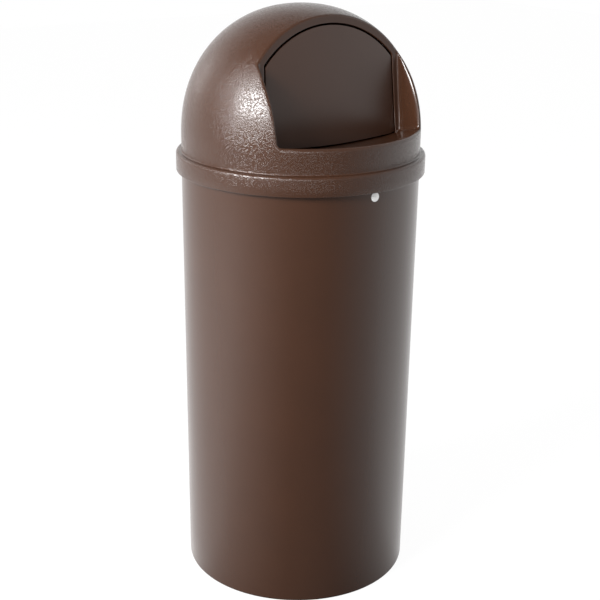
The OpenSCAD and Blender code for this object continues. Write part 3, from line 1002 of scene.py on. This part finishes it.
def block(name, low, high):
    """A block between two corners, with rounded edges."""
    deselect()
    bpy.ops.mesh.primitive_cube_add(size=MM, location=(0, 0, 0))
    obj = bpy.context.object
    obj.name = name
    obj.scale = [b - a for a, b in zip(low, high)]
    obj.location = [(a + b) / 2 * MM for a, b in zip(low, high)]
    bpy.ops.object.transform_apply(location=True, rotation=True, scale=True)
    round_edges(obj, PART_EDGE)
    return obj


def placed_at(obj, place, turn=(0, 0, 0)):
    make_active(obj)
    obj.location = [v * MM for v in place]
    obj.rotation_euler = turn
    bpy.ops.object.transform_apply(location=True, rotation=True, scale=True)


def joined(name, parts):
    make_active(parts[0])
    for part in parts[1:]:
        part.select_set(True)
    bpy.ops.object.join()
    parts[0].name = name
    smooth(parts[0], PART_SMOOTH)
    return parts[0]


def hinge_boss(name, side):
    """One boss for the rod, on a web that runs to the back of the frame."""
    place = (BOSS_X if side > 0 else -BOSS_X - BOSS_W, HINGE_Y, HINGE_Z)
    boss = ring("boss", ROD_R + ROD_ROOM, BOSS_R, BOSS_W, BOSS_STEPS)
    placed_at(boss, place, (0, QUARTER, 0))
    web_low = (0, -(HINGE_IN - HOOD_WALL) - WEB_IN, -BOSS_WEB_H / 2)
    web_high = (BOSS_W, -ROD_R - WEB_CLEAR, BOSS_WEB_H / 2)
    web = block("web", web_low, web_high)
    placed_at(web, place, (-FRAME_LEAN, 0, 0))
    return joined(name, [boss, web])


def tether_eye():
    middle = -HOOD_R + HOOD_WALL / 2 + EYE_R
    height = BAND_TOP + 2 * EYE_R
    eye = ring("eye", EYE_HOLE_R, EYE_R, EYE_T, EYE_STEPS)
    placed_at(eye, (-EYE_T / 2, middle, height), (0, QUARTER, 0))
    root_high = (EYE_T / 2, -EYE_HOLE_R - ROOT_IN, EYE_R)
    root = block("root", (-EYE_T / 2, -EYE_R, -EYE_R), root_high)
    placed_at(root, (0, middle, height))
    return joined("tether_eye", [eye, root])


def body_shell():
    """The body, from the middle of its floor's underside round to the middle of the floor's top."""
    foot_x = BODY_FOOT_R - FOOT_OUTER_ROUND
    outline = [*UNDERSIDE, *arc(foot_x, FOOT_OUTER_ROUND, FOOT_OUTER_ROUND, -90, 0, 6)]
    outline += [(BODY_FOOT_R + BODY_TAPER * z / BODY_H, z) for z in WALL_HEIGHTS]
    bead_x = BEAD_R - BEAD_ROUND
    outline += [(BEAD_FOOT_R, BEAD_LOW), (bead_x, BEAD_LOW)]
    outline += arc(bead_x, BEAD_LOW + BEAD_ROUND, BEAD_ROUND, -60, 0, 3)
    outline += arc(bead_x, BODY_H - BEAD_ROUND, BEAD_ROUND, 0, 90, 4)
    outline += arc(RIM_IN_R + RIM_ROUND, BODY_H - RIM_ROUND, RIM_ROUND, 90, 180, 3)
    body = turned("body", outline + [*INSIDE], BODY_STEPS)
    smooth(body, BODY_SMOOTH)
    return body


def spring_route():
    """A torsion spring's wire round the rod: a leg up the frame, its coil, a leg down the door."""
    coil_x = OPENING_HALF - SIDE_GAP - FLANGE_T - COIL_IN - WIRE_R
    coil_end = coil_x - COIL_TURNS * COIL_PITCH
    upright = 180 - math.degrees(FRAME_LEAN)
    frame_room = HINGE_IN - HOOD_WALL - WIRE_R - LEG_CLEAR - COIL_R
    door_room = HINGE_BACK - DOOR_T - WIRE_R - LEG_CLEAR - COIL_R
    start = math.radians(upright) - math.asin(frame_room / LEG)
    end = math.radians(upright + 360 * COIL_TURNS) + math.asin(door_room / LEG)

    def leg(a, x, way):
        y, z = COIL_R * math.cos(a), COIL_R * math.sin(a)
        lengths = (2, LEG / 2, LEG)
        return [(x, y - way * math.sin(a) * d, z + way * math.cos(a) * d) for d in lengths]

    steps = COIL_STEPS * COIL_TURNS
    coil = []
    for i in range(steps + 1):
        t = i / steps
        a = start + (end - start) * t
        x = coil_x - COIL_TURNS * COIL_PITCH * t
        coil.append((x, COIL_R * math.cos(a), COIL_R * math.sin(a)))
    # The door's leg goes in before the coil's last points, so its wire runs out and back
    route = leg(start, coil_x, -1)[::-1] + coil[:-3] + leg(end, coil_end, 1) + coil[-3:]
    return route, coil_x, coil_end


def door_spring(name, side):
    """A spring at one end of the rod, with a leg along the frame and a leg along the door."""
    route, coil_start, coil_end = spring_route()
    curve = bpy.data.curves.new(name, "CURVE")
    curve.dimensions = "3D"
    curve.bevel_depth = WIRE_R * MM
    curve.bevel_resolution = 3
    curve.use_fill_caps = True
    line = curve.splines.new("POLY")
    line.points.add(len(route) - 1)
    for point, (x, y, z) in zip(line.points, route):
        point.co = (side * x * MM, (y + HINGE_Y) * MM, (z + HINGE_Z) * MM, 1)
    spring = bpy.data.objects.new(name, curve)
    bpy.context.scene.collection.objects.link(spring)
    make_active(spring)
    bpy.ops.object.convert(target="MESH")
    spring = bpy.context.object
    smooth(spring, PART_SMOOTH)
    spring.data.materials.clear()
    spring.data.materials.append(spring_steel)
    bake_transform(spring)
    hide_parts(name)


# The scene

add_camera()
falloff = studio_group()
add_world(falloff)
add_floor(falloff)
add_soft_box("key", (-2.4, -0.27, 1.8), width=1.5, height=0.8, power=144)
add_soft_box("fill", (-1.5, -2.1, 1.15), width=1.6, height=0.7, power=15)
add_soft_box("strip", (-0.78, 2.49, 1.44), width=0.8, height=0.8, power=4)

hood_plastic = plastic("pebbled_plastic", BROWN, rough=0.15, specular=0.58, **PEBBLED)
body_plastic = plastic("body_plastic", BROWN, rough=0.2, specular=0.6, **FINE)
door_plastic = plastic("door_plastic", BROWN, rough=0.36, specular=0.75, **FINE)
nylon = plastic("nylon", OFF_WHITE, rough=0.15, specular=1.0, **SMOOTH)
steel = metal("zinc_steel", (0.62, 0.62, 0.6), rough=0.3)
spring_steel = metal("oiled_spring_steel", (0.07, 0.068, 0.065), rough=0.45)

hood = hood_shell()
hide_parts("hood_shell")
dress(hood, hood_plastic, "hood")
hood.data.materials.append(body_plastic)
centres = np.array([face.center for face in hood.data.polygons]) / MM
fine = (dome_depth(centres) > PEBBLE_DEPTH).astype(int)
hood.data.polygons.foreach_set("material_index", fine)
for piece in (hinge_boss("right_hinge_boss", 1), hinge_boss("left_hinge_boss", -1), tether_eye()):
    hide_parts("hood_shell")
    dress(piece, hood_plastic, "hood")

body = body_shell()
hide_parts("body_shell")
dress(body, body_plastic, "body")

door = copied("push_door", "door", DOOR_EDGE)
dress(door, door_plastic, "door")

button = copied("tether_button", "button", BUTTON_EDGE)
dress(button, nylon, "body")

door_spring("left_door_spring", -1)
door_spring("right_door_spring", 1)

for node in ("hinge_rod", "left_rod_cap", "right_rod_cap", "tether_washer"):
    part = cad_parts[node]
    part.data.materials.clear()
    part.data.materials.append(steel)

scene = bpy.context.scene
scene.view_settings.view_transform = "Standard"
